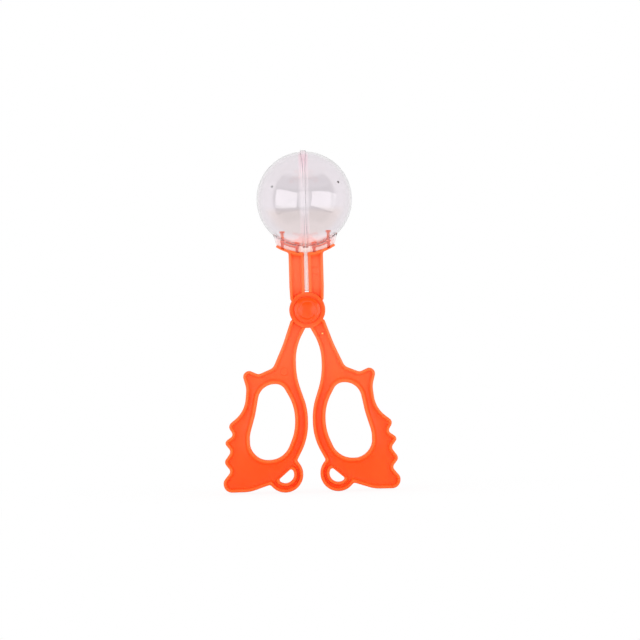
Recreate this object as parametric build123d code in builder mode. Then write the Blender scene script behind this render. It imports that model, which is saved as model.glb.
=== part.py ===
from build123d import *
from math import cos, radians, sin, tan
import os

# Bug catcher tongs: two crossing moulded arms on one pivot pin, with half a clear ball on each jaw.
# Z runs up the tool, X across it and Y through it, and the front faces -Y. The origin is at the
# centre of the lowest edge of the hang loops. Closed, the half balls meet on the plane X = 0.
# Outlines are drawn from the pivot, or from the centre of the ball, with x across and y up.

# Driving sizes, in millimetres
pivot_height = 93.2  # pivot axis above the lowest point of the hang loops
ball_rise = 56.8  # pivot axis to the centre of the ball
half_width = 45.3  # seam plane to the outermost point of a heel
arm_depth = 6.6  # full thickness of an arm, front to back
overrun = 2.0  # how far every cut runs past what it cuts

# Arms: a raised rim round a thinner web
rim_width = 1.5
recess_depth = 1.7
boss_radius = 9.25
lap_gap = 0.1  # between the two half-thickness bosses
lap_clearance = 0.35  # round each boss, for the other arm to turn past
slit_half_width = 1.05  # seam plane to the inner edge of a jaw
jaw_outer = 8.85  # seam plane to the outer edge of a jaw
jaw_shoulder_rise = 12.0  # where the jaw's outer edge starts to taper
jaw_base_inset = 0.3  # how far that taper draws in
jaw_base_rise = 5.2  # lower corner of the jaw, above the pivot
jaw_corner_radius = 1.2  # lower corner of the jaw

# Hang loop at the bottom of each handle
loop_share = 0.3  # seam plane to the loop's centre, as a share of the half width
loop_radius = 9.2
hang_hole_radius = 4.5
hang_hole_chord = 0.25  # the straight side lies this far past the loop's centre
hang_hole_angle = 49.5  # direction that the straight side faces, from the X axis
hang_hole_corner = 0.8

# Clear half balls
ball_radius = 24.5
cup_wall = 1.1
flange_lip = 0.7  # how far the flange stands out from the ball
flange_thickness = 1.4
seam_gap = 0.1  # between the two flanges when closed
tongue_thickness = 0.95
tongue_depth = 5.4
tongue_clearance = 1.1  # end of the tongue above the boss
tongue_corner = 1.2
vent_radius = 0.6
vent_azimuth = 40.7  # from the cup's pole towards the back of the left cup
vent_elevation = 18.8

# Cradle under the ball, with the foot of the cup standing in it
cradle_gap = 2.8  # between the ball and the cradle
cradle_thickness = 1.25
cradle_depth = 9.0
cradle_half_angle = 32.3  # from straight below the ball out to the tip
foot_clearance = 0.1
foot_depth = 8.4
foot_wall = 1.0
foot_top_angle = 41.7  # side of the foot where it leaves the ball, from straight below its centre
foot_bottom_angle = 33.7  # side of the foot where it meets the cradle
foot_seam_width = 2.4  # solid end of the foot beside the seam

# Prongs of the cradle, which pass through slots in the cup
shoulder_gap = 0.1  # under the ball's wall
shoulder_thickness = 0.6
shoulder_depth = 5.8
shoulder_inner_x = 3.2
shoulder_outer_x = 13.0
inner_prong_x = 4.4
outer_prong_x = 11.8
prong_width = 1.2
prong_depth = 3.0
prong_head_width = 2.3
prong_head_height = 0.8
prong_head_gap = 0.1  # between an inner head and the wall that it holds
outer_prong_height = 4.1  # top of the outer prong above the inner face of the wall
slot_clearance = 0.15

# Pivot pin with its button head, and the cap snapped on its other end
pin_radius = 2.6
pin_clearance = 0.1
button_radius = 6.8
button_edge = 0.8
button_crown_radius = 5.4
button_crown = 1.5
button_groove_radius = 4.3
button_groove = 1.2
button_dome = 1.6
button_blend = 0.6
button_seat_gap = 0.05
cap_thickness = 2.0
cap_socket_depth = 1.4
cap_edge_radius = 0.6
socket_clearance = 0.05
bead_height = 0.25
bead_width = 0.5

# Places worked out from the sizes
half_gap = seam_gap / 2
half_depth = arm_depth / 2
ball_height = pivot_height + ball_rise
bore_radius = pin_radius + pin_clearance
lap_radius = boss_radius + lap_clearance
loop_centre = (half_width * loop_share, loop_radius - pivot_height)
cup_inner_radius = ball_radius - cup_wall
flange_radius = ball_radius + flange_lip
cradle_radius = ball_radius + cradle_gap
cradle_outer_radius = cradle_radius + cradle_thickness
foot_radius = cradle_radius - foot_clearance
tool_plane = Plane(origin=(0, 0, pivot_height), x_dir=(1, 0, 0), z_dir=(0, -1, 0))
ball_plane = Plane(origin=(0, 0, ball_height), x_dir=(1, 0, 0), z_dir=(0, -1, 0))
pin_plane = Plane(origin=(0, 0, pivot_height), x_dir=(1, 0, 0), z_dir=(0, 0, -1))
pin_axis = Axis((0, 0, pivot_height), (0, -1, 0))
seam_axis = Axis((0, 0, ball_height), (1, 0, 0))

# Right handle: corners of its outline as shares of the half width and of the pivot height. The third
# share is how much of the shorter side at that corner its rounding takes up. It runs from the pivot
# down the inner edge, along the bottom, up the finger notches and the thumb side, and back along the
# outer edge to the boss.
handle_shares = [
    (0.000, 0.000, 0.00),
    (0.005, 0.079, 0.00),
    (0.145, 0.203, 0.56),
    (0.145, 0.369, 0.41),
    (0.027, 0.543, 0.36),
    (0.027, 0.702, 0.54),
    (0.177, 0.840, 0.00),
    (0.453, 0.952, 0.00),
    (0.702, 0.992, 0.26),
    (0.998, 0.993, 0.72),
    (1.002, 0.930, 0.16),
    (0.912, 0.876, 0.18),
    (0.990, 0.826, 0.22),
    (0.906, 0.767, 0.14),
    (0.982, 0.716, 0.26),
    (0.873, 0.678, 0.19),
    (0.938, 0.625, 0.39),
    (0.742, 0.549, 0.55),
    (0.713, 0.423, 0.25),
    (0.765, 0.330, 0.84),
    (0.671, 0.326, 0.12),
    (0.572, 0.347, 0.22),
    (0.406, 0.314, 0.21),
    (0.287, 0.186, 0.19),
    (0.193, 0.057, 0.04),
]

# Finger hole of the right handle, in the same shares, from its upper outer corner clockwise
finger_hole_shares = [
    (0.556, 0.401, 0.65),
    (0.625, 0.569, 0.17),
    (0.694, 0.681, 0.29),
    (0.694, 0.761, 0.50),
    (0.571, 0.821, 0.47),
    (0.307, 0.821, 0.62),
    (0.170, 0.664, 0.43),
    (0.170, 0.527, 0.50),
    (0.310, 0.401, 0.30),
]


def share_loop(shares):
    """Corner points and corner radii of an outline that is written in shares."""
    points = [Vector(half_width * across, -pivot_height * down) for across, down, _ in shares]
    radii = []
    for i, (_, _, reach) in enumerate(shares):
        before = points[i] - points[i - 1]
        after = points[(i + 1) % len(points)] - points[i]
        half_turn = radians(before.get_angle(after) / 2)
        radii.append(reach * min(before.length, after.length) / tan(half_turn))
    return points, radii


def rounded_sketch(points, radii, inset=0):
    """Closed outline with rounded corners, drawn in by a distance with its arcs on the same centres."""
    count = len(points)
    twice_area = sum(points[i - 1].cross(points[i]).Z for i in range(count))
    side = 1 if twice_area > 0 else -1
    moved, rounded = [], []
    for i in range(count):
        before = (points[i] - points[i - 1]).normalized()
        after = (points[(i + 1) % count] - points[i]).normalized()
        normals = (before + after).rotate(Axis.Z, 90 * side)
        bulge = side if before.cross(after).Z > 0 else -side
        moved.append(points[i] + normals * (inset / (1 + before.dot(after))))
        rounded.append(max(radii[i] - inset * bulge, 0))
    with BuildSketch() as outline:
        with BuildLine():
            FilletPolyline(*moved, radius=rounded, close=True)
        make_face()
    return outline.sketch


def handle_sketch(inset):
    """Right handle with its hang loop, before its holes."""
    with BuildSketch() as handle:
        add(rounded_sketch(*share_loop(handle_shares), inset))
        with Locations(loop_centre):
            Circle(loop_radius - inset)
    return handle.sketch


def finger_hole_sketch(margin):
    return rounded_sketch(*share_loop(finger_hole_shares), -margin)


def hang_hole_sketch(margin):
    """D-shaped hole in the middle of the hang loop, with its straight side towards the handle."""
    radius = hang_hole_radius + margin
    with BuildSketch() as half_disc:
        Circle(radius)
        with Locations((hang_hole_chord + margin, 0)):
            Rectangle(radius, 2 * radius, align=(Align.MIN, Align.CENTER), mode=Mode.SUBTRACT)
        fillet(half_disc.vertices(), hang_hole_corner + margin)
    with BuildSketch() as hole:
        with Locations(Location(loop_centre, hang_hole_angle)):
            add(half_disc.sketch)
    return hole.sketch


def jaw_sketch(inset):
    """Upper left jaw, from the boss up into the middle of the cradle's thickness."""
    cradle_middle = cradle_radius + cradle_thickness / 2
    inner_top = ball_rise - (cradle_middle**2 - slit_half_width**2) ** 0.5
    outer_top = ball_rise - (cradle_middle**2 - jaw_outer**2) ** 0.5
    points = [
        Vector(-slit_half_width, 0),
        Vector(-slit_half_width, inner_top),
        Vector(-jaw_outer, outer_top),
        Vector(-jaw_outer, jaw_shoulder_rise),
        Vector(jaw_base_inset - jaw_outer, jaw_base_rise),
    ]
    return rounded_sketch(points, [0, 0, 0, 0, jaw_corner_radius], inset)


def cradle_sketch():
    """Left half of the arc that the ball stands in, from the slit out to the tip."""
    reach = cradle_outer_radius + overrun
    slope = tan(radians(cradle_half_angle))
    with BuildSketch() as cradle:
        with Locations((0, ball_rise)):
            Circle(cradle_outer_radius)
            Circle(cradle_radius, mode=Mode.SUBTRACT)
        with BuildLine():
            Polyline(
                (-slit_half_width, ball_rise - slit_half_width / slope),
                (-slit_half_width, ball_rise - reach),
                (-reach * slope, ball_rise - reach),
                close=True,
            )
        make_face(mode=Mode.INTERSECT)
    return cradle.sketch


def arm_outline(inset=0):
    """Front arm seen from the front: left jaw, boss and right handle, with every edge drawn in."""
    with BuildSketch() as outline:
        add(jaw_sketch(inset))
        add(handle_sketch(inset))
        add(finger_hole_sketch(inset), mode=Mode.SUBTRACT)
        add(hang_hole_sketch(inset), mode=Mode.SUBTRACT)
    return outline.sketch


def prong_sketches():
    """Shoulder under the cup's wall, and the stems and heads that stand on it."""
    shoulder_radius = ball_radius + shoulder_gap
    head_radius = cup_inner_radius - prong_head_gap
    head_inner_radius = head_radius - prong_head_height
    inner_prong_top = ball_rise - head_inner_radius
    wall_height = ball_rise - (cup_inner_radius**2 - outer_prong_x**2) ** 0.5
    outer_prong_top = wall_height + outer_prong_height
    with BuildSketch() as shoulder:
        with Locations((0, ball_rise)):
            Circle(shoulder_radius + shoulder_thickness)
            Circle(shoulder_radius, mode=Mode.SUBTRACT)
        with Locations((-shoulder_inner_x, 0)):
            Rectangle(
                shoulder_outer_x - shoulder_inner_x,
                ball_rise,
                align=(Align.MAX, Align.MIN),
                mode=Mode.INTERSECT,
            )
    with BuildSketch() as stems:
        for x, top in ((inner_prong_x, inner_prong_top), (outer_prong_x, outer_prong_top)):
            with Locations((-x, top)):
                Rectangle(prong_width, top, align=(Align.CENTER, Align.MAX))
        with Locations((0, ball_rise)):
            Circle(cradle_radius + cradle_thickness / 2, mode=Mode.INTERSECT)
    with BuildSketch() as inner_head:
        with Locations((0, ball_rise)):
            Circle(head_radius)
            Circle(head_inner_radius, mode=Mode.SUBTRACT)
        with Locations((-inner_prong_x, 0)):
            Rectangle(
                prong_head_width, ball_rise, align=(Align.CENTER, Align.MIN), mode=Mode.INTERSECT
            )
    with BuildSketch() as outer_head:
        with Locations((-outer_prong_x, outer_prong_top)):
            Rectangle(prong_head_width, prong_head_height, align=(Align.CENTER, Align.MAX))
    return shoulder.sketch, stems.sketch, inner_head.sketch, outer_head.sketch


def make_arm():
    """Front arm. Only the front half of its thickness is left at the boss, for the lap joint."""
    recess = arm_outline(rim_width)
    shoulder, stems, inner_head, outer_head = prong_sketches()
    with BuildPart() as arm:
        with BuildSketch(tool_plane):
            add(arm_outline())
            add(cradle_sketch())
            Circle(boss_radius)
        extrude(amount=half_depth, both=True)
        for side in (half_depth - recess_depth, -half_depth - overrun):
            with BuildSketch(tool_plane.offset(side)):
                add(recess)
                Circle(lap_radius, mode=Mode.SUBTRACT)
            extrude(amount=recess_depth + overrun, mode=Mode.SUBTRACT)
        with BuildSketch(tool_plane.offset(-half_depth - overrun)):
            Circle(lap_radius)
        extrude(amount=half_depth + overrun + lap_gap / 2, mode=Mode.SUBTRACT)
        with BuildSketch(tool_plane):
            add(cradle_sketch())
        extrude(amount=cradle_depth / 2, both=True)
        with BuildSketch(tool_plane):
            add(shoulder)
        extrude(amount=shoulder_depth / 2, both=True)
        with BuildSketch(tool_plane):
            add(stems)
            add(inner_head)
            add(outer_head)
        extrude(amount=prong_depth / 2, both=True)
        with BuildSketch(tool_plane):
            Circle(bore_radius)
        extrude(amount=half_depth + overrun, both=True, mode=Mode.SUBTRACT)
    return arm


def foot_sketch(inner_radius, outer_radius, seam_x, side_inset):
    """Strip between two circles round the ball's centre, from seam_x out to the foot's side."""
    top_x = ball_radius * sin(radians(foot_top_angle))
    top_y = -ball_radius * cos(radians(foot_top_angle))
    bottom_x = foot_radius * sin(radians(foot_bottom_angle))
    bottom_y = -foot_radius * cos(radians(foot_bottom_angle))
    lean = (top_x - bottom_x) / (top_y - bottom_y)
    high_y = top_y + overrun
    low_y = -outer_radius - overrun
    with BuildSketch() as strip:
        Circle(outer_radius)
        Circle(inner_radius, mode=Mode.SUBTRACT)
        with BuildLine():
            Polyline(
                (-seam_x, low_y),
                (side_inset - bottom_x + lean * (bottom_y - low_y), low_y),
                (side_inset - top_x - lean * overrun, high_y),
                (-seam_x, high_y),
                close=True,
            )
        make_face(mode=Mode.INTERSECT)
    return strip.sketch


def make_cup():
    """Left half of the ball, with its flange, its foot and the tongue that fills half the slit."""
    wall_middle = cup_inner_radius + cup_wall / 2
    tongue_bottom = boss_radius + tongue_clearance - ball_rise
    slot_width = prong_width + 2 * slot_clearance
    slot_depth = prong_depth + 2 * slot_clearance
    vent_direction = (
        -cos(radians(vent_elevation)) * cos(radians(vent_azimuth)),
        cos(radians(vent_elevation)) * sin(radians(vent_azimuth)),
        sin(radians(vent_elevation)),
    )
    with BuildPart() as cup:
        with BuildSketch(ball_plane):
            add(foot_sketch(wall_middle, foot_radius, half_gap, 0))
        extrude(amount=foot_depth / 2, both=True)
        with BuildSketch(ball_plane):
            add(foot_sketch(cup_inner_radius, foot_radius + overrun, foot_seam_width, foot_wall))
        extrude(amount=foot_depth / 2 - foot_wall, both=True, mode=Mode.SUBTRACT)
        with BuildSketch(ball_plane):
            Circle(ball_radius)
            with Locations((-half_gap, 0)):
                Rectangle(ball_radius, ball_radius, align=(Align.MAX, Align.MIN), mode=Mode.INTERSECT)
                Rectangle(flange_thickness, flange_radius, align=(Align.MAX, Align.MIN))
            Circle(cup_inner_radius, mode=Mode.SUBTRACT)
        revolve(axis=seam_axis)
        with BuildSketch(Plane.YZ.offset(-half_gap)):
            with Locations((0, ball_height - wall_middle)):
                tongue = Rectangle(
                    tongue_depth, -wall_middle - tongue_bottom, align=(Align.CENTER, Align.MAX)
                )
            fillet(tongue.vertices().group_by(Axis.Z)[0], tongue_corner)
        extrude(amount=-tongue_thickness)
        with BuildSketch(Plane.XY.offset(ball_height - foot_radius - overrun)):
            with Locations((-inner_prong_x, 0), (-outer_prong_x, 0)):
                Rectangle(slot_width, slot_depth)
        extrude(amount=foot_radius + overrun - cup_inner_radius / 2, mode=Mode.SUBTRACT)
        vent_plane = Plane(origin=(0, 0, ball_height), z_dir=vent_direction)
        with BuildSketch(vent_plane.offset(cup_inner_radius - overrun)):
            Circle(vent_radius)
        extrude(amount=cup_wall + 2 * overrun, mode=Mode.SUBTRACT)
    return cup


def make_pin():
    """Button head in front of the bosses and a shaft through both, with a snap bead at its end."""
    seat = half_depth + button_seat_gap
    end = socket_clearance - seat - cap_socket_depth
    bead = -seat - cap_socket_depth / 2
    corners = [
        (0, end, 0),
        (pin_radius, end, 0),
        (pin_radius, bead - bead_width, 0),
        (pin_radius + bead_height, bead, 0),
        (pin_radius, bead + bead_width, 0),
        (pin_radius, seat, 0),
        (button_radius, seat, 0),
        (button_radius, seat + button_edge, button_blend),
        (button_crown_radius, seat + button_crown, button_blend),
        (button_groove_radius, seat + button_groove, button_blend),
        (button_groove_radius / 2, seat + button_dome, button_blend),
        (0, seat + button_dome, 0),
    ]
    points = [Vector(across, up) for across, up, _ in corners]
    with BuildPart() as pin:
        with BuildSketch(pin_plane):
            add(rounded_sketch(points, [radius for _, _, radius in corners]))
        revolve(axis=pin_axis)
    return pin


def make_cap():
    """Plain domed cap behind the bosses, with the socket that the pin snaps into."""
    seat = half_depth + button_seat_gap
    socket_radius = pin_radius + socket_clearance
    bead = seat + cap_socket_depth / 2
    with BuildPart() as cap:
        with BuildSketch(pin_plane):
            with Locations((0, -seat)):
                shell = Rectangle(button_radius, cap_thickness, align=(Align.MIN, Align.MAX))
            outer_corner = shell.vertices().sort_by(Axis.Y)[0:2].sort_by(Axis.X)[-1]
            fillet(outer_corner, cap_edge_radius)
            with Locations((0, -seat)):
                Rectangle(
                    socket_radius, cap_socket_depth, align=(Align.MIN, Align.MAX), mode=Mode.SUBTRACT
                )
            with BuildLine():
                Polyline(
                    (0, -bead - bead_width),
                    (socket_radius, -bead - bead_width),
                    (socket_radius + bead_height, -bead),
                    (socket_radius, bead_width - bead),
                    (0, bead_width - bead),
                    close=True,
                )
            make_face(mode=Mode.SUBTRACT)
        revolve(axis=pin_axis)
    return cap


def turned(piece):
    """The same moulding turned half a turn about the vertical axis, for the other side."""
    with BuildPart() as copy:
        add(piece.part, rotation=(0, 0, 180))
    return copy


front_arm = make_arm()
left_cup = make_cup()
pivot_pin = make_pin()
pivot_cap = make_cap()
rear_arm = turned(front_arm)
right_cup = turned(left_cup)

os.makedirs("parts", exist_ok=True)
pieces = {
    "front_arm": front_arm,
    "rear_arm": rear_arm,
    "left_cup": left_cup,
    "right_cup": right_cup,
    "pivot_pin": pivot_pin,
    "pivot_cap": pivot_cap,
}
for name, piece in pieces.items():
    piece.part.label = name
    export_step(piece.part, f"parts/{name}.step")
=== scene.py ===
from math import ceil, cos, pi, radians, sin, sqrt, tan

import bmesh
import bpy
import numpy as np
from mathutils import Matrix, Vector
from mathutils.geometry import delaunay_2d_cdt


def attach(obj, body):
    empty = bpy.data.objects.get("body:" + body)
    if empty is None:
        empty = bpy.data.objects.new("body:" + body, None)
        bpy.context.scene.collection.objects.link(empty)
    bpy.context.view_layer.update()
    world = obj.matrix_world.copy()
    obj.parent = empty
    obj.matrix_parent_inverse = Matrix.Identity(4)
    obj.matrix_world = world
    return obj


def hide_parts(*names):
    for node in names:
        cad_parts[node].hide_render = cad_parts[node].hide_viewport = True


# Bug catcher tongs: two orange moulded arms on a pivot pin, with half a clear ball on each jaw.
# Sizes are in millimetres, and a mesh is brought to metres when it is made. Flat outlines have
# x across the tool and z up it, from the pivot, as the front arm lies: left jaw, right handle.

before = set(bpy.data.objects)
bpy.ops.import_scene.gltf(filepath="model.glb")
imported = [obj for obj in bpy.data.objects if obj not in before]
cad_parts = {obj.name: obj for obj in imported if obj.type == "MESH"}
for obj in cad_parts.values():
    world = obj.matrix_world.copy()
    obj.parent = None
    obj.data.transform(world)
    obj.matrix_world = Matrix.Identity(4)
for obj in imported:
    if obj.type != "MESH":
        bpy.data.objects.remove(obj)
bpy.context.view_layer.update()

tool = {
    "height": 175.2,
    "halfWidth": 45.3,
    "halfDepth": 3.3,
    "pivotHeight": 93.2,
    "ballRise": 56.8,  # centre of the ball above the pivot
    "ballRadius": 24.5,
    "cupWall": 1.1,
    "seamGap": 0.1,
    "cradleRadius": 27.3,
    "bossRadius": 9.25,
    "lapRadius": 9.31,
}
toMetres = 0.001
ballHeight = tool["pivotHeight"] + tool["ballRise"]
cupInner = tool["ballRadius"] - tool["cupWall"]


# Small helpers

def linearColour(hexCode):  # sRGB hex to the linear colour that Blender works in
    parts = [int(hexCode[i : i + 2], 16) / 255 for i in (1, 3, 5)]
    linear = [p / 12.92 if p <= 0.04045 else ((p + 0.055) / 1.055) ** 2.4 for p in parts]
    return (*linear, 1.0)


def addNode(tree, kind, settings=None, values=None, links=None):  # sockets by name or by place
    node = tree.nodes.new(kind)
    for name, value in (settings or {}).items():
        setattr(node, name, value)
    for name, value in (values or {}).items():
        node.inputs[name].default_value = value
    for name, socket in (links or {}).items():
        tree.links.new(socket, node.inputs[name])
    return node


def newObject(name, mesh, material):
    thing = bpy.data.objects.new(name, mesh)
    bpy.context.scene.collection.objects.link(thing)
    mesh.materials.clear()
    mesh.materials.append(material)
    return thing


def shadeSmooth(mesh, sharpAngle):
    mesh.shade_smooth()
    mesh.set_sharp_from_angle(angle=radians(sharpAngle))


def plainMesh(thing, name):  # what an object's modifiers make of it
    bpy.context.view_layer.update()
    finished = thing.evaluated_get(bpy.context.evaluated_depsgraph_get())
    mesh = bpy.data.meshes.new_from_object(finished)
    mesh.name = name
    return mesh


# Flat outlines

fineness = {
    "arcStep": 9,  # most degrees between two points of an arc
    "arcLength": 1.0,  # and most mm
    "atOnce": 4000,  # points measured in one go
    "fewest": 8,  # points that a closed line needs
    "hair": 1e-9,  # stands in for zero
}


def circle(radius, count, centre=(0, 0)):
    turns = np.linspace(0, 2 * pi, count, endpoint=False)
    return [(centre[0] + radius * cos(a), centre[1] + radius * sin(a)) for a in turns]


def turnAt(before, after):  # angle from one side of a corner to the next, positive to the left
    return np.arctan2(before[0] * after[1] - before[1] * after[0], before @ after)


def roundedLoop(corners, radii):  # corners with arcs at them, as one closed line of points
    corners = [np.array(c, float) for c in corners]
    loop = []
    for i, corner in enumerate(corners):
        before = corner - corners[i - 1]
        after = corners[(i + 1) % len(corners)] - corner
        before, after = before / np.linalg.norm(before), after / np.linalg.norm(after)
        turn = turnAt(before, after)
        if radii[i] <= 0:
            loop.append(corner)
            continue
        start = corner - before * radii[i] * tan(abs(turn) / 2)
        centre = start + np.sign(turn) * radii[i] * np.array([-before[1], before[0]])
        spoke = start - centre
        byAngle = ceil(abs(turn) / radians(fineness["arcStep"]))
        count = max(2, byAngle, ceil(radii[i] * abs(turn) / fineness["arcLength"]))
        for k in range(count + 1):
            c, s = cos(turn * k / count), sin(turn * k / count)
            loop.append(centre + np.array([c * spoke[0] - s * spoke[1], s * spoke[0] + c * spoke[1]]))
    return np.array(loop)


def shareLoop(shares):  # the third share is how much of the shorter side at a corner its arc takes up
    corners = [(tool["halfWidth"] * x, -tool["pivotHeight"] * z) for x, z, _ in shares]
    radii = []
    for i, (_, _, reach) in enumerate(shares):
        before = np.subtract(corners[i], corners[i - 1])
        after = np.subtract(corners[(i + 1) % len(corners)], corners[i])
        shorter = min(np.linalg.norm(before), np.linalg.norm(after))
        radii.append(reach * shorter / tan(abs(turnAt(before, after)) / 2))
    return roundedLoop(corners, radii)


def insideLines(points, starts, ends):  # which points lie inside the lines with these sides
    across, up = (ends - starts).T
    up = np.where(up == 0, fineness["hair"], up)
    found = []
    for part in np.array_split(points, max(1, len(points) // fineness["atOnce"])):
        x, level = part[:, None, 0], part[:, None, 1]
        crosses = (starts[:, 1] > level) != (ends[:, 1] > level)
        left = x < across * (level - starts[:, 1]) / up + starts[:, 0]
        found.append((crosses & left).sum(1) % 2 == 1)
    return np.concatenate(found)


def depthInLoop(points, loop):  # distance to a closed line in mm, positive inside it
    after = np.roll(loop, -1, axis=0)
    edge = after - loop
    edgeSquare = (edge**2).sum(1)
    distances = []
    for part in np.array_split(points, max(1, len(points) // fineness["atOnce"])):
        spoke = part[:, None, :] - loop
        along = np.clip((spoke * edge).sum(2) / edgeSquare, 0, 1)
        distances.append(np.sqrt(((spoke - along[..., None] * edge) ** 2).sum(2).min(1)))
    return np.concatenate(distances) * np.where(insideLines(points, loop, after), 1, -1)


def depthInDisc(points, centre, radius):
    return radius - np.hypot(points[:, 0] - centre[0], points[:, 1] - centre[1])


def depthInBox(points, left, right, low, high):
    sides = [points[:, 0] - left, right - points[:, 0], points[:, 1] - low, high - points[:, 1]]
    return np.min(sides, axis=0)


def blendedMax(a, b, width):  # the greater of two depths, with a fillet where they cross
    return np.maximum(a, b) + np.maximum(width - np.abs(a - b), 0) ** 2 / (4 * width)


def contourLoops(field, level, origin, cell):  # lines where a grid of depths crosses a level
    f = field - level
    f[f == 0] = fineness["hair"]
    neighbours, place = {}, {}
    inside = f > 0
    corner = inside[:-1, :-1].astype(int) + inside[1:, :-1] + inside[:-1, 1:] + inside[1:, 1:]
    for i, j in zip(*np.where((corner > 0) & (corner < 4))):
        crossed = []
        for key in ((0, i, j), (1, i + 1, j), (0, i, j + 1), (1, i, j)):  # the four sides of a cell
            across, a, b = key
            c, d = (a + 1, b) if across == 0 else (a, b + 1)
            if inside[a, b] != inside[c, d]:
                share = f[a, b] / (f[a, b] - f[c, d])
                x, z = a + (c - a) * share, b + (d - b) * share
                place[key] = (origin[0] + cell * x, origin[1] + cell * z)
                crossed.append(key)
        for a, b in zip(crossed[::2], crossed[1::2]):
            neighbours.setdefault(a, []).append(b)
            neighbours.setdefault(b, []).append(a)
    loops = []
    while neighbours:
        key = next(iter(neighbours))
        line = [key]
        while onward := [n for n in neighbours.pop(key) if n in neighbours]:
            key = onward[0]
            line.append(key)
        if len(line) > fineness["fewest"]:
            loops.append(np.array([place[k] for k in line]))
    return loops


def evenly(loop, step):  # the same closed line with its points at even distances
    closed = np.vstack([loop, loop[:1]])
    length = np.concatenate([[0], np.cumsum(np.linalg.norm(np.diff(closed, axis=0), axis=1))])
    count = max(fineness["fewest"], round(length[-1] / step))
    at = np.linspace(0, length[-1], count, endpoint=False)
    return np.stack([np.interp(at, length, closed[:, 0]), np.interp(at, length, closed[:, 1])], axis=1)


# The arm, one moulding used twice

arm = {
    "rimWidth": 1.5,  # raised rim round the web
    "recess": 1.7,  # depth of the web below the rim
    "edgeRound": 0.85,  # rounding of the rim's outer edge
    "recessFrom": -0.45,  # the rim falls to the web between these two distances past its width
    "recessTo": 0.6,
    "softRecessTo": 1.2,  # the same beside the finger hole, where the slope is gentler
    "notchFillet": 1.1,
    "fingerInset": 0.14,  # the finger hole's edge stands in from its loop by this much
    "jawOuter": 8.85,
    "slitHalf": 1.05,
    "jawShoulder": 12.0,
    "jawBaseInset": 0.3,
    "jawBase": 5.2,
    "jawCorner": 1.2,
    "loopRadius": 9.2,
    "loopShare": 0.3,
    "holeRadius": 4.5,
    "holeChord": 0.25,
    "holeAngle": 49.5,
    "holeCorner": 1.15,
    "holeArcClear": 0.3,  # the points of its round side stop this many radians short of the straight one
    "holeArcPoints": 13,
    "chordRidge": (0.35, 1.1),  # the rim along its straight side falls to the web between these
    "boreRadius": 2.7,
    "lapGap": 0.1,
    "cradleThickness": 1.25,
    "cradleTip": 32.3,
    "shoulderRadius": 24.6,
    "shoulderThickness": 0.6,
    "shoulderInner": 3.2,
    "shoulderOuter": 13.0,
    "innerProng": 4.4,
    "outerProng": 11.8,
    "prongWidth": 1.45,
    "headWidth": 2.7,
    "headHeight": 0.95,
    "headGap": 0.1,
    "outerProngHeight": 4.1,
    "halfDepths": {"cradle": 4.5, "shoulder": 2.9, "prongs": 1.5},
    "formMargin": 0.012,  # a form's edge may lie this far outside it
    "smallRound": 0.22,  # edges of the cradle, shoulder and prongs
    "gateSpot": (7.4, -12.2),  # nub left by the runner, with a pit beside it
    "nubHeight": 1.2,
    "nubSlope": (0.25, 0.95),
    "gatePit": (5.2, -13.0),
    "pitDepth": 0.4,
    "pitSlope": (0.2, 1.0),
    "grooveRadius": 6.9,  # shallow groove round the button
    "grooveHalf": 0.26,
    "grooveFloor": 0.03,
    "grooveDepth": 0.35,
    "ejectorSpots": [(12.8, -31.3), (-4.9, 20.0)],
    "ejectorRadius": 2.0,
    "ejectorRidge": 0.16,  # low ridge round each ejector mark
    "ejectorRidgeHalf": 0.2,
    "ejectorSink": 0.05,
    "ejectorClear": 1.0,  # the ridges stay this far from the lap
    "gridLow": (-17.5, -94.5),  # the arm lies between these, from the pivot
    "gridHigh": (47.0, 42.5),
    "cell": 0.3,
    "step": 0.38,
    "fewestRound": 10,
    "edgeClear": 0.035,  # lines inside a face keep this far from its edge
    "weld": 1e-5,
    "sideProbe": 0.05,  # a point this far left of a side wall tells which way the wall faces
    "sharpAngle": 35,
}
armRings = {  # where lines of points follow a form, in mm or as shares of its width
    "edgeShares": (0.05, 0.13, 0.27, 0.45, 0.7, 1),
    "form": (-0.03, 0, 0.04, 0.1, arm["smallRound"]),
    "slopeShares": (0, 0.2, 0.4, 0.6, 0.8, 1),
    "lap": (-0.3, -0.15, 0, 0.15, 0.3, 0.45),
    "lapBehind": (-0.02, 0.02),
    "bossShares": (0.12, 0.4, 1),
    "grooveShares": (-1, -0.6, -0.2, 0.2, 0.6, 1),
    "nub": (0.13, 0.25, 0.38, 0.5, 0.64, 0.78, 0.96),
    "pit": (0.25, 0.45, 0.7, 1.0),
    "ejector": (-0.2, -0.1, 0, 0.1, 0.2),
}
webFrom, webTo, softWebTo = (arm["rimWidth"] + arm[k] for k in ("recessFrom", "recessTo", "softRecessTo"))

# Corners of the handle and its finger hole, in shares of the half width and of the pivot's height
handleShares = [
    (0.000, 0.000, 0.00),
    (0.005, 0.079, 0.00),
    (0.145, 0.203, 0.56),
    (0.145, 0.369, 0.41),
    (0.027, 0.543, 0.36),
    (0.027, 0.702, 0.54),
    (0.177, 0.840, 0.00),
    (0.453, 0.952, 0.00),
    (0.702, 0.992, 0.26),
    (0.998, 0.993, 0.72),
    (1.002, 0.930, 0.20),
    (0.911, 0.876, 0.30),
    (0.992, 0.826, 0.31),
    (0.905, 0.767, 0.28),
    (0.984, 0.716, 0.32),
    (0.872, 0.678, 0.31),
    (0.938, 0.625, 0.39),
    (0.742, 0.549, 0.55),
    (0.713, 0.423, 0.25),
    (0.765, 0.330, 0.84),
    (0.671, 0.326, 0.12),
    (0.572, 0.347, 0.22),
    (0.406, 0.314, 0.21),
    (0.287, 0.186, 0.19),
    (0.193, 0.057, 0.04),
]
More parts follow.
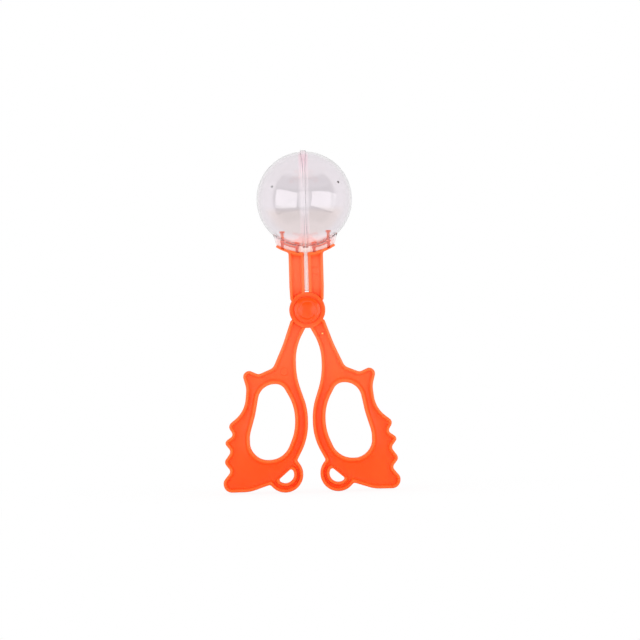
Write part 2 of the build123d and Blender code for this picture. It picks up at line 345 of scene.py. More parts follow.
fingerShares = [
    (0.556, 0.401, 0.65),
    (0.625, 0.569, 0.17),
    (0.694, 0.681, 0.29),
    (0.694, 0.761, 0.50),
    (0.571, 0.821, 0.47),
    (0.307, 0.821, 0.62),
    (0.170, 0.664, 0.43),
    (0.170, 0.527, 0.50),
    (0.310, 0.401, 0.30),
]


def fall(depth, start, end):  # 0 before start, 1 after end, smooth between them
    t = np.clip((depth - start) / (end - start), 0, 1)
    return t * t * (3 - 2 * t)


def rounding(depth, radius):  # how far an edge rounded to this radius lies below its face
    inward = radius - np.clip(depth, 0, radius)
    return radius - np.sqrt(np.maximum(radius**2 - inward**2, 0))


def jawLoop():
    rise, inner, outer = tool["ballRise"], arm["slitHalf"], arm["jawOuter"]
    middle = tool["cradleRadius"] + arm["cradleThickness"] / 2
    corners = [
        (-inner, 0),
        (-inner, rise - sqrt(middle**2 - inner**2)),
        (-outer, rise - sqrt(middle**2 - outer**2)),
        (-outer, arm["jawShoulder"]),
        (arm["jawBaseInset"] - outer, arm["jawBase"]),
    ]
    return roundedLoop(corners, [0, 0, 0, 0, arm["jawCorner"]])


def hangHoleLoop(centre):  # half disc with its straight side towards the handle
    radius, chord, clear = arm["holeRadius"], arm["holeChord"], arm["holeArcClear"]
    end = sqrt(radius**2 - chord**2)
    turns = np.linspace(pi / 2 + clear, 3 * pi / 2 - clear, arm["holeArcPoints"])
    arc = [(radius * cos(a), radius * sin(a)) for a in turns]
    corners = [(chord, end), *arc, (chord, -end)]
    loop = roundedLoop(corners, [arm["holeCorner"], *[0] * len(arc), arm["holeCorner"]])
    c, s = cos(radians(arm["holeAngle"])), sin(radians(arm["holeAngle"]))
    return loop @ np.array([[c, s], [-s, c]]) + centre


loopCentre = np.array([tool["halfWidth"] * arm["loopShare"], arm["loopRadius"] - tool["pivotHeight"]])
armLoops = {
    "handle": shareLoop(handleShares),
    "finger": shareLoop(fingerShares),
    "jaw": jawLoop(),
    "hang": hangHoleLoop(loopCentre),
}


def armDepths(points):  # how deep points lie in each form of the arm, as seen from the front
    x, z = points[:, 0], points[:, 1]
    rise, boss = tool["ballRise"], np.hypot(x, z)
    fromBall, below = np.hypot(x, z - rise), rise - z
    tip = radians(arm["cradleTip"])
    handle = depthInLoop(points, armLoops["handle"])
    loop = depthInDisc(points, loopCentre, arm["loopRadius"])
    outline = np.maximum(blendedMax(handle, loop, arm["notchFillet"]), depthInLoop(points, armLoops["jaw"]))
    finger = arm["fingerInset"] - depthInLoop(points, armLoops["finger"])
    hang = -depthInLoop(points, armLoops["hang"])
    cradleOuter = tool["cradleRadius"] + arm["cradleThickness"]
    cradle = np.min(
        [
            fromBall - tool["cradleRadius"],
            cradleOuter - fromBall,
            -x - arm["slitHalf"],
            x * cos(tip) + below * sin(tip),
            below,
        ],
        axis=0,
    )
    shoulder = np.min(
        [
            fromBall - arm["shoulderRadius"],
            arm["shoulderRadius"] + arm["shoulderThickness"] - fromBall,
            -x - arm["shoulderInner"],
            arm["shoulderOuter"] + x,
            below,
        ],
        axis=0,
    )
    inner, outer = arm["innerProng"], arm["outerProng"]
    headRadius = cupInner - arm["headGap"]
    headInner = headRadius - arm["headHeight"]
    outerTop = rise - sqrt(cupInner**2 - outer**2) + arm["outerProngHeight"]
    stemHalf, headHalf = arm["prongWidth"] / 2, arm["headWidth"] / 2
    prongs = [
        np.min([headRadius - fromBall, fromBall - headInner, headHalf - np.abs(x + inner), below], axis=0),
        depthInBox(points, -outer - headHalf, -outer + headHalf, outerTop - arm["headHeight"], outerTop),
    ]
    for across, top in ((inner, rise - headInner), (outer, outerTop)):
        stem = depthInBox(points, -across - stemHalf, -across + stemHalf, 0, top)
        prongs.append(np.minimum(stem, cradleOuter - arm["cradleThickness"] / 2 - fromBall))
    prongs = np.max(prongs, axis=0)
    plate = np.min([outline, finger, hang], axis=0)
    whole = np.maximum(blendedMax(plate, cradle, arm["notchFillet"]), tool["bossRadius"] - boss)
    whole = np.minimum(whole, boss - arm["boreRadius"])
    return {
        "outline": outline,
        "finger": finger,
        "hang": hang,
        "plate": plate,
        "lap": boss - tool["lapRadius"],
        "boss": tool["bossRadius"] - boss,
        "cradle": cradle,
        "shoulder": shoulder,
        "prongs": prongs,
        "whole": np.max([whole, shoulder, prongs], axis=0),
    }


def armHeights(points, front):  # distance of the front or the rear face from the middle of the arm
    d = armDepths(points)
    angle = radians(arm["holeAngle"])
    pastChord = (points - loopCentre) @ np.array([cos(angle), sin(angle)]) - arm["holeChord"]
    falls = [
        fall(d["outline"], webFrom, webTo),
        fall(d["finger"], webFrom, softWebTo),
        np.maximum(fall(d["hang"], webFrom, webTo), fall(pastChord, *arm["chordRidge"])),
    ]
    if front:
        falls.append(fall(d["lap"], arm["recessFrom"], arm["recessTo"]))
    height = tool["halfDepth"] - arm["recess"] * np.min(falls, axis=0)
    height -= rounding(np.maximum(d["plate"], d["boss"]) if front else d["plate"], arm["edgeRound"])
    for form, half in arm["halfDepths"].items():
        inForm = d[form] > -arm["formMargin"]
        over = np.where(inForm, half - rounding(d[form], arm["smallRound"]), -np.inf)
        beside = np.where(inForm, np.maximum(over, 0), height)
        height = np.where(d["plate"] > 0, np.maximum(height, over), beside)
    if front:
        nub, pit = (-depthInDisc(points, arm[spot], 0) for spot in ("gateSpot", "gatePit"))
        height += arm["nubHeight"] * (1 - fall(nub, *arm["nubSlope"]))
        height -= arm["pitDepth"] * (1 - fall(pit, *arm["pitSlope"]))
        ring = np.abs(tool["bossRadius"] - d["boss"] - arm["grooveRadius"])
        height -= arm["grooveDepth"] * (1 - fall(ring, arm["grooveFloor"], arm["grooveHalf"]))
    else:
        height = np.where(d["lap"] < 0, -arm["lapGap"] / 2, height)
        for spot in arm["ejectorSpots"]:
            away = -depthInDisc(points, spot, arm["ejectorRadius"])
            ridge = arm["ejectorRidge"] * fall(-np.abs(away), -arm["ejectorRidgeHalf"], 0)
            height += ridge * (d["lap"] > arm["ejectorClear"]) - arm["ejectorSink"] * (away < 0)
    return height


def facePlan(front, boundary, rings):  # triangles of one face of the arm, from its edges and the rings inside
    points, edges = [], []
    for loop in boundary + rings:
        first = len(points)
        points += [tuple(p) for p in loop]
        edges += [(first + i, first + (i + 1) % len(loop)) for i in range(len(loop))]
    edgeCount = sum(len(loop) for loop in boundary)
    inner = armDepths(np.array(points))["whole"] > arm["edgeClear"]
    kept = [(a, b) for a, b in edges if b < edgeCount and a < edgeCount or inner[a] and inner[b]]
    middles = np.array([np.add(points[a], points[b]) / 2 for a, b in kept])
    clear = armDepths(middles)["whole"] > arm["edgeClear"]
    kept = [(a, b) for (a, b), free in zip(kept, clear) if a < edgeCount or free]
    used = [i < edgeCount or inner[i] for i in range(len(points))]
    renumber = np.cumsum(used) - 1
    points = [p for p, u in zip(points, used) if u]
    kept = [(int(renumber[a]), int(renumber[b])) for a, b in kept]
    flat, _, triangles, origins, _, _ = delaunay_2d_cdt([Vector(p) for p in points], kept, [], 0, arm["weld"])
    plan = np.array([tuple(p) for p in flat])
    triangles = np.array(triangles)
    ends = np.concatenate([np.roll(loop, -1, axis=0) for loop in boundary])
    triangles = triangles[insideLines(plan[triangles].sum(1) / 3, np.concatenate(boundary), ends)]
    place = {i: new for new, old in enumerate(origins) for i in old}
    return plan, triangles, [place[i] for i in range(edgeCount)], armHeights(plan, front)


def armMesh():
    low, high = np.array(arm["gridLow"]), np.array(arm["gridHigh"])
    counts = np.ceil((high - low) / arm["cell"]).astype(int)
    xs, zs = (low[i] + arm["cell"] * np.arange(counts[i]) for i in (0, 1))
    grid = np.stack(np.meshgrid(xs, zs, indexing="ij"), axis=2).reshape(-1, 2)
    d = {key: value.reshape(len(xs), len(zs)) for key, value in armDepths(grid).items()}
    print("arm: depths on a grid of", len(grid), "points")

    def rings(field, levels):
        loops = [loop for level in levels for loop in contourLoops(field, level, low, arm["cell"])]
        return [evenly(loop, arm["step"]) for loop in loops]

    def circles(centre, radii):
        counts = [max(arm["fewestRound"], ceil(2 * pi * r / arm["step"])) for r in radii]
        return [np.array(circle(r, count, centre)) for r, count in zip(radii, counts)]

    boundary = rings(d["whole"], [0])
    shared = rings(d["whole"], [arm["edgeRound"] * share for share in armRings["edgeShares"]])
    for form in arm["halfDepths"]:
        shared += rings(d[form], armRings["form"])
    for field, end in ((np.minimum(d["outline"], d["hang"]), webTo), (d["finger"], softWebTo)):
        shared += rings(field, [webFrom + (end - webFrom) * share for share in armRings["slopeShares"]])
    middle, lap = (0, 0), tool["lapRadius"]
    radii = [lap + v for v in armRings["lap"]]
    radii += [tool["bossRadius"] - arm["edgeRound"] * share for share in armRings["bossShares"]]
    radii += [arm["grooveRadius"] + arm["grooveHalf"] * share for share in armRings["grooveShares"]]
    inFront = circles(middle, radii)
    inFront += circles(arm["gateSpot"], armRings["nub"]) + circles(arm["gatePit"], armRings["pit"])
    behind = circles(middle, [lap + v for v in armRings["lapBehind"]])
    for spot in arm["ejectorSpots"]:
        behind += circles(spot, [arm["ejectorRadius"] + v for v in armRings["ejector"]])
    points, faces, edges = [], [], []
    for front, own in ((True, inFront), (False, behind)):
        plan, triangles, edgePlaces, height = facePlan(front, boundary, shared + own)
        first = len(points)
        y = -height if front else height
        points += [(p[0], v, p[1] + tool["pivotHeight"]) for p, v in zip(plan, y)]
        for a, b, c in triangles:
            before, after = plan[b] - plan[a], plan[c] - plan[a]
            turnsLeft = before[0] * after[1] > before[1] * after[0]
            b, c = (b, c) if turnsLeft == front else (c, b)
            faces.append((first + a, first + b, first + c))
        edges.append([first + i for i in edgePlaces])
        print("arm:", "front" if front else "rear", "face has", len(triangles), "triangles")
    at = 0
    for loop in boundary:  # side walls between the two faces
        side = loop[1] - loop[0]
        left = np.array([-side[1], side[0]]) / np.linalg.norm(side)
        leftInside = armDepths(np.array([loop[0] + arm["sideProbe"] * left]))["whole"][0] > 0
        for i in range(len(loop)):
            j = (i + 1) % len(loop)
            a, b, c, e = edges[0][at + i], edges[0][at + j], edges[1][at + j], edges[1][at + i]
            faces.append((a, e, c, b) if leftInside else (a, b, c, e))
        at += len(loop)
    print("arm:", len(points), "points and", len(faces), "faces")
    return points, [tuple(int(i) for i in face) for face in faces]


def closedMesh(name, points, faces):  # from points in mm, with any gap filled
    mesh = bpy.data.meshes.new(name)
    mesh.from_pydata([tuple(float(v) * toMetres for v in p) for p in points], [], faces)
    mesh.validate()
    shape = bmesh.new()
    shape.from_mesh(mesh)
    bmesh.ops.holes_fill(shape, edges=[e for e in shape.edges if len(e.link_faces) == 1])
    bmesh.ops.triangulate(shape, faces=[f for f in shape.faces if len(f.verts) > 4])
    shape.to_mesh(mesh)
    shape.free()
    return mesh


def armPieces(material):
    points, faces = armMesh()
    for name, turn, node, body in (
        ("frontArm", 1, "front_arm", "front_half"),
        ("rearArm", -1, "rear_arm", "rear_half"),
    ):
        mesh = closedMesh(name, [(turn * x, turn * y, z) for x, y, z in points], faces)
        shadeSmooth(mesh, arm["sharpAngle"])
        piece = newObject(name + "Moulding", mesh, material)
        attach(piece, body)
        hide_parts(node)


# Lathe in Geometry Nodes: turns an open profile line round the Z axis and closes its poles

lathe = {"pathRadius": 0.05, "weld": 0.002}


def latheTree():
    tree = bpy.data.node_groups.new("turnedMoulding", "GeometryNodeTree")
    for name, kind, way in (
        ("Profile", "NodeSocketGeometry", "INPUT"),
        ("Steps", "NodeSocketInt", "INPUT"),
        ("Path Radius", "NodeSocketFloat", "INPUT"),
        ("Material", "NodeSocketMaterial", "INPUT"),
        ("Moulding", "NodeSocketGeometry", "OUTPUT"),
    ):
        tree.interface.new_socket(name=name, in_out=way, socket_type=kind)
    given = addNode(tree, "NodeGroupInput").outputs
    path = addNode(
        tree,
        "GeometryNodeCurvePrimitiveCircle",
        links={"Resolution": given["Steps"], "Radius": given["Path Radius"]},
    )
    profile = addNode(tree, "GeometryNodeMeshToCurve", links={"Mesh": given["Profile"]})
    swept = addNode(
        tree,
        "GeometryNodeCurveToMesh",
        links={"Curve": path.outputs["Curve"], "Profile Curve": profile.outputs["Curve"]},
    )
    merged = addNode(
        tree,
        "GeometryNodeMergeByDistance",
        values={"Distance": lathe["weld"]},
        links={"Geometry": swept.outputs["Mesh"]},
    )
    real = addNode(tree, "GeometryNodeRealizeInstances", links={"Geometry": merged.outputs["Geometry"]})
    finished = addNode(
        tree,
        "GeometryNodeSetMaterial",
        links={"Geometry": real.outputs["Geometry"], "Material": given["Material"]},
    )
    addNode(tree, "NodeGroupOutput", links={"Moulding": finished.outputs["Geometry"]})
    return tree


def turnedMesh(name, profile, material, steps):  # profile of radius and height, from axis to axis
    line = bpy.data.meshes.new(name + "Profile")
    flat = [(r - lathe["pathRadius"], -h, 0) for r, h in profile]
    line.from_pydata(flat, [(i, i + 1) for i in range(len(flat) - 1)], [])
    thing = bpy.data.objects.new(name, line)
    bpy.context.scene.collection.objects.link(thing)
    modifier = thing.modifiers.new("turned", "NODES")
    modifier.node_group = latheTree()
    sockets = {s.name: s.identifier for s in modifier.node_group.interface.items_tree if s.in_out == "INPUT"}
    modifier[sockets["Steps"]] = steps
    modifier[sockets["Path Radius"]] = lathe["pathRadius"]
    modifier[sockets["Material"]] = material
    mesh = plainMesh(thing, name)
    thing.modifiers.remove(modifier)
    bpy.data.objects.remove(thing)
    shape = bmesh.new()
    shape.from_mesh(mesh)
    bmesh.ops.recalc_face_normals(shape, faces=shape.faces)
    shape.to_mesh(mesh)
    shape.free()
    return mesh


def inRowFrame(mesh, columns, origin):  # a mesh in mm, brought to metres on the given axes
    turn = Matrix(columns).transposed().to_4x4()
    mesh.transform(Matrix.Scale(toMetres, 4) @ Matrix.Translation(origin) @ turn)


# Clear half balls

cup = {
    "flangeRadius": 25.19,
    "flangeThickness": 1.4,
    "flangeRound": 0.12,
    "flangeFillet": 0.2,
    "seamEdge": 0.05,
    "outerStop": 0.01,  # the outer wall's arc stops this many radians above the flange
    "innerStart": 0.014,  # and the inner wall's starts this many above the seam
    "innerRun": 6.0,  # the seam's inner edge is rounded towards a point this high
    "profilePoints": 46,
    "footRadius": 27.2,
    "footTopAngle": 41.7,
    "footBottomAngle": 33.7,
    "footHalfDepth": 4.2,
    "footWall": 1.0,
    "footSeamWidth": 2.4,
    "footPoints": 32,
    "tongueThickness": 0.95,
    "tongueHalfDepth": 2.7,
    "tongueBottom": 9.75,  # above the pivot
    "tongueCorner": 1.2,
    "softEdge": 0.25,
    "tongueSoftEdge": 0.1,
    "edgeAngle": 30,  # edges sharper than this are softened
    "edgeSegments": 3,
    "seamStep": 0.012,  # the foot and then the tongue lie this much behind the seam face
    "slotHalfWidth": 0.85,
    "slotHalfDepth": 1.65,
    "slotCut": (-30.0, -12.0),  # the cutting boxes' ends, from the ball's centre
    "ventRadius": 0.6,
    "ventAzimuth": 40.7,
    "ventElevation": 18.8,
    "ventPoints": 28,
    "ventCut": 3.0,  # half the length of the pin that cuts it
    "overrun": 2.0,  # the foot's hollow is cut this far past its underside
    "steps": 180,
    "weld": 2e-6,  # these three in metres
    "shortestEdge": 1e-6,
    "onWall": 2e-5,  # a corner this near a sphere belongs to the ball's wall
    "facingShare": 0.9,
    "sharpAngle": 32,
}


def cupProfile():  # from the outer pole over the flange to the inner pole, radius and distance from the seam
    half, outer = tool["seamGap"] / 2, tool["ballRadius"]
    step = half + cup["flangeThickness"]
    low, high = np.arcsin(step / outer), pi / 2
    turns = np.linspace(high, low + cup["outerStop"], cup["profilePoints"])
    line = [(outer * cos(a), outer * sin(a)) for a in turns]
    corners = [
        line[-1],
        (sqrt(outer**2 - step**2), step),
        (cup["flangeRadius"], step),
        (cup["flangeRadius"], half),
        (cupInner, half),
        (cupInner, cup["innerRun"]),
    ]
    radii = [0, cup["flangeFillet"] / 2, cup["flangeRound"], cup["seamEdge"], cup["seamEdge"], 0]
    line += [tuple(p) for p in roundedLoop(corners, radii)[1:-1]]
    turns = np.linspace(cup["innerStart"], high, cup["profilePoints"])
    line += [(cupInner * cos(a), cupInner * sin(a)) for a in turns]
    line[0], line[-1] = (0, outer), (0, cupInner)
    return line


def footLoop(innerRadius, outerRadius, seamX, inset):  # strip under the ball, out to the foot's leaning side
    top, bottom = radians(cup["footTopAngle"]), radians(cup["footBottomAngle"])
    high = np.array([-sin(top), -cos(top)]) * tool["ballRadius"]
    low = np.array([-sin(bottom), -cos(bottom)]) * cup["footRadius"]
    high[0] += inset
    low[0] += inset
    along = (high - low) / np.linalg.norm(high - low)

    def sideAngle(radius):  # where the side line, which runs inward and up, crosses this circle first
        b = low @ along
        end = low + along * (-b - sqrt(b * b - low @ low + radius**2))
        return np.arctan2(-end[0], -end[1])

    def arc(radius, start, end):
        turns = np.linspace(start, end, cup["footPoints"])
        return [(-radius * sin(a), -radius * cos(a)) for a in turns]

    inner = arc(innerRadius, np.arcsin(seamX / innerRadius), sideAngle(innerRadius))
    return inner + arc(outerRadius, sideAngle(outerRadius), np.arcsin(seamX / outerRadius))


def prism(name, outline, halfDepth, softEdge=0):  # outline with x across and z up, carried along y
    points = [(x, y, z) for y in (-halfDepth, halfDepth) for x, z in outline]
    count = len(outline)
    faces = [tuple(range(count)), tuple(range(2 * count - 1, count - 1, -1))]
    faces += [(i, (i + 1) % count, (i + 1) % count + count, i + count) for i in range(count)]
    mesh = bpy.data.meshes.new(name)
    mesh.from_pydata(points, [], faces)
    shape = bmesh.new()
    shape.from_mesh(mesh)
    bmesh.ops.recalc_face_normals(shape, faces=shape.faces)
    if softEdge:
        hard = [e for e in shape.edges if e.calc_face_angle(0) > radians(cup["edgeAngle"])]
        bmesh.ops.bevel(
            shape,
            geom=hard,
            offset=softEdge,
            segments=cup["edgeSegments"],
            profile=0.5,
            affect="EDGES",
            clamp_overlap=True,
        )
    shape.to_mesh(mesh)
    shape.free()
    return mesh


def combined(name, base, steps):  # exact Booleans on a mesh, one after the other
    things = [bpy.data.objects.new(name + "Work", mesh) for mesh in [base] + [mesh for _, mesh in steps]]
    for thing in things:
        bpy.context.scene.collection.objects.link(thing)
    for (operation, _), other in zip(steps, things[1:]):
        modifier = things[0].modifiers.new(operation, "BOOLEAN")
        modifier.operation, modifier.object, modifier.solver = operation, other, "EXACT"
    mesh = plainMesh(things[0], name)
    for thing in things:
        bpy.data.objects.remove(thing)
    return mesh


def cupMesh(name, material):
    shell = turnedMesh(name + "Shell", cupProfile(), material, cup["steps"])
    shell.transform(Matrix(((0, 0, -1), (0, 1, 0), (1, 0, 0))).to_4x4())  # the pole towards -X
    footStart = tool["seamGap"] / 2 + cup["seamStep"]
    middle, wall, outside = (cupInner + tool["ballRadius"]) / 2, cup["footWall"], cup["footRadius"]
    foot = prism("foot", footLoop(middle, outside, footStart, 0), cup["footHalfDepth"], cup["softEdge"])
    inside = footLoop(cupInner, outside + cup["overrun"], cup["footSeamWidth"], wall)
    hollow = prism("hollow", inside, cup["footHalfDepth"] - wall)
    wide, end = cup["tongueHalfDepth"], cup["tongueBottom"] - tool["ballRise"]
    corners = [(-wide, -middle), (wide, -middle), (wide, end), (-wide, end)]
    outline = roundedLoop(corners, [0, 0, cup["tongueCorner"], cup["tongueCorner"]])
    tongue = prism("tongue", outline, cup["tongueThickness"] / 2, cup["tongueSoftEdge"])
    tongue.transform(Matrix(((0, 1, 0), (-1, 0, 0), (0, 0, 1))).to_4x4())  # thickness across the tool
    tongue.transform(Matrix.Translation((-footStart - cup["seamStep"] - cup["tongueThickness"] / 2, 0, 0)))
    steps = [("UNION", tongue), ("DIFFERENCE", hollow), ("UNION", shell)]
    for x in (arm["innerProng"], arm["outerProng"]):
        left, right = -x - cup["slotHalfWidth"], -x + cup["slotHalfWidth"]
        low, high = cup["slotCut"]
        box = [(left, low), (right, low), (right, high), (left, high)]
        steps.append(("DIFFERENCE", prism("slot", box, cup["slotHalfDepth"])))
    vent = prism("vent", circle(cup["ventRadius"], cup["ventPoints"]), cup["ventCut"])
    azimuth, elevation = radians(cup["ventAzimuth"]), radians(cup["ventElevation"])
    out = Vector((-cos(elevation) * cos(azimuth), cos(elevation) * sin(azimuth), sin(elevation)))
    vent.transform(Matrix.Translation(out * middle) @ out.to_track_quat("Y", "Z").to_matrix().to_4x4())
    steps.append(("DIFFERENCE", vent))
    return combined(name, foot, steps)


def smoothOnBall(mesh, centre):  # true sphere normals on both faces of the wall, so that cuts don't streak it
    shadeSmooth(mesh, cup["sharpAngle"])
    normals = [Vector(n.vector) for n in mesh.corner_normals]
    for polygon in mesh.polygons:
        spokes = [mesh.vertices[v].co - centre for v in polygon.vertices]
        for radius, way in ((tool["ballRadius"] * toMetres, 1), (cupInner * toMetres, -1)):
            onSphere = all(abs(s.length - radius) < cup["onWall"] for s in spokes)
            if onSphere and polygon.normal.dot(spokes[0]) * way > cup["facingShare"] * radius:
                for corner, spoke in zip(polygon.loop_indices, spokes):
                    normals[corner] = spoke.normalized() * way
    mesh.normals_split_custom_set(normals)


def cupPieces(material):
    for name, turn, node, body in (
        ("leftCup", 1, "left_cup", "front_half"),
        ("rightCup", -1, "right_cup", "rear_half"),
    ):
        mesh = cupMesh(name, material)
        inRowFrame(mesh, ((turn, 0, 0), (0, turn, 0), (0, 0, 1)), (0, 0, ballHeight))
        shape = bmesh.new()
        shape.from_mesh(mesh)
        bmesh.ops.remove_doubles(shape, verts=shape.verts, dist=cup["weld"])
        bmesh.ops.dissolve_degenerate(shape, edges=shape.edges, dist=cup["shortestEdge"])
        bmesh.ops.triangulate(shape, faces=[f for f in shape.faces if len(f.verts) > 4])
        shape.to_mesh(mesh)
        openEdges = sum(len(e.link_faces) != 2 for e in shape.edges)
        shape.free()
        smoothOnBall(mesh, Vector((0, 0, ballHeight * toMetres)))
        piece = newObject(name + "Moulding", mesh, material)
        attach(piece, body)
        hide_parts(node)
        print("cup:", len(mesh.polygons), "faces,", openEdges, "open edges")


# Pivot: button head on a shaft in front, cap behind

pivot = {
    "seat": 3.35,  # underside of the button and the cap, from the middle
    "pinRadius": 2.6,
    "pinEnd": -4.7,
    "pinEdge": 0.3,
    "seatEdge": 0.15,
    "buttonRadius": 6.75,
    "buttonEdge": 0.6,
    "crownRadius": 4.9,
    "crown": 1.42,
    "crownRound": 1.3,
    "grooveRadius": 4.25,
    "groove": 0.92,
    "blend": 0.4,  # rounding of the button's edge and of the groove
    "domeRadius": 14.0,
    "domeShare": 0.85,  # the dome's points start at this share of the way out to the groove
    "domePoints": 12,
    "capThickness": 2.0,
    "capSocket": 1.4,
    "capSocketRadius": 2.65,
    "capSocketRound": 0.2,
    "capEdge": 0.6,
    "capDishRadius": 4.4,
    "capDish": 0.28,
    "capDishSlope": 0.5,
    "capDishRounds": (0.4, 0.3),  # at the top and the foot of its slope
    "sharpAngle": 40,
    "steps": 128,
}


def pivotPieces(material):
    seat, wide, dome = pivot["seat"], pivot["buttonRadius"], pivot["domeRadius"]
    sweep = np.arcsin(pivot["grooveRadius"] / dome)
    rise = seat + pivot["groove"] - dome * cos(sweep)
    turns = np.linspace(sweep * pivot["domeShare"], 0, pivot["domePoints"])
    button = [  # radius, height and how far the corner is rounded
        (0, pivot["pinEnd"], 0),
        (pivot["pinRadius"], pivot["pinEnd"], pivot["pinEdge"]),
        (pivot["pinRadius"], seat, 0),
        (wide, seat, pivot["seatEdge"]),
        (wide, seat + pivot["buttonEdge"], pivot["blend"]),
        (pivot["crownRadius"], seat + pivot["crown"], pivot["crownRound"]),
        (pivot["grooveRadius"], seat + pivot["groove"], pivot["blend"]),
        *[(dome * sin(a), rise + dome * cos(a), 0) for a in turns],
    ]
    socket, top = seat + pivot["capSocket"], seat + pivot["capThickness"]
    dish, (upperRound, lowerRound) = pivot["capDishRadius"], pivot["capDishRounds"]
    cap = [
        (0, socket, 0),
        (pivot["capSocketRadius"], socket, pivot["capSocketRound"]),
        (pivot["capSocketRadius"], seat, pivot["seatEdge"]),
        (wide, seat, pivot["seatEdge"]),
        (wide, top, pivot["capEdge"]),
        (dish + pivot["capDishSlope"], top, upperRound),
        (dish, top - pivot["capDish"], lowerRound),
        (0, top - pivot["capDish"], 0),
    ]
    for name, corners, columns, node in (
        ("pivotButton", button, ((1, 0, 0), (0, 0, 1), (0, -1, 0)), "pivot_pin"),
        ("pivotCap", cap, ((1, 0, 0), (0, 0, -1), (0, 1, 0)), "pivot_cap"),
    ):
        line = roundedLoop([c[:2] for c in corners], [c[2] for c in corners])
        mesh = turnedMesh(name, line, material, pivot["steps"])
        inRowFrame(mesh, columns, (0, 0, tool["pivotHeight"]))
        shadeSmooth(mesh, pivot["sharpAngle"])
        piece = newObject(name + "Moulding", mesh, material)
        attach(piece, "front_half")
        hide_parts(node)
        print("pivot:", name, len(mesh.polygons), "faces")


# Materials, on Object coordinates

mixColours = {"data_type": "RGBA"}  # settings of nodes
multiply, absolute, greater = ({"operation": name} for name in ("MULTIPLY", "ABSOLUTE", "MAXIMUM"))


def newMaterial(name):
    material = bpy.data.materials.new(name)
    material.use_nodes = True
    material.node_tree.nodes.clear()
    return material, material.node_tree


def metres(*lengths):  # lengths in mm, as Object coordinates have them
    return tuple(length * toMetres for length in lengths)


def rangeEnds(source, target=(0, 1)):  # what a Map Range node reads and gives at its two ends
    return {"From Min": source[0], "From Max": source[1], "To Min": target[0], "To Max": target[1]}


def setStops(ramp, stops):  # each stop is a place and a colour
    points = ramp.color_ramp.elements
    for at, _ in stops[2:]:
        points.new(at)
    for point, (at, colour) in zip(points, stops):
        point.position, point.color = at, colour


polypropylene = {  # lengths in mm, from the tool's middle planes and its bottom
    "orangePolypropylene": {
        "colour": "#FF5A06",
        "mottleAndChannelShade": "#FD4B01",  # redder: painted shade in the narrow channels near the middle, and the darker tone of the random patches
        # painted highlight on the raised rims, paler than the web
        "rim": "#FF6F2A",
        # painted light, paler where the necks, jaws and prongs look more lit
        "litPaler": "#FF7748",
        "roughness": 0.36,
        "specular": 0.22,
    },
    "pinPolypropylene": {  # a harder grade with a better polish
        "colour": "#FF5302",
        "mottleAndChannelShade": "#FC4D01",
        "rim": "#FF5302",
        "litPaler": "#FF5302",
        "roughness": 0.2,
        "specular": 0.42,
    },
    "mottle": 22.2,  # size of the broad patches in tone and gloss
    "mottleLevels": (0.3, 0.7),
    "glossSpread": (-0.04, 0.05),  # what they add to the roughness
    "grain": 0.385,  # the mould's spark grain, drawn coarser than it is so that it softens the gloss
    "grainDepth": 0.03,
    "grainStrength": 0.12,
    "middle": (6.0, 13.0),  # how far out the painted shade begins and ends to fade
    "rimFace": (2.3, 3.2),  # faces this far out take on the rim's painted highlight
    "rimShare": 0.9,
    "bossEdge": (8.4, 9.4),
    "bossShare": 0.3,  # share of the rim's painted highlight on the boss
    "litPalerShares": [  # share of the tool's height, and of the painted light there, a paler colour
        (0.1, 0.03),
        (0.3, 0.2),
        (0.42, 0.55),
        (0.47, 0.5),
        (0.5, 0.03),
        (0.57, 0.03),
        (0.6, 0.72),
        (0.66, 0.85),
        (0.68, 0.8),
        (0.695, 0.15),
        (0.71, 0.4),
        (0.72, 0.85),
    ],
    "nubGlint": "#FFC07A",  # painted glint on the tip of the gate nub
    "nubGlintRadius": (0.4, 0.7),
    "glow": 0.25,  # light that spreads inside the wall
    "glowReach": 1.2,
    "glowColour": (1.0, 0.35, 0.12),
    "ior": 1.49,
    "sheen": 0.15,
    "sheenRoughness": 0.45,
    "sheenColour": "#FFE2C8",
}


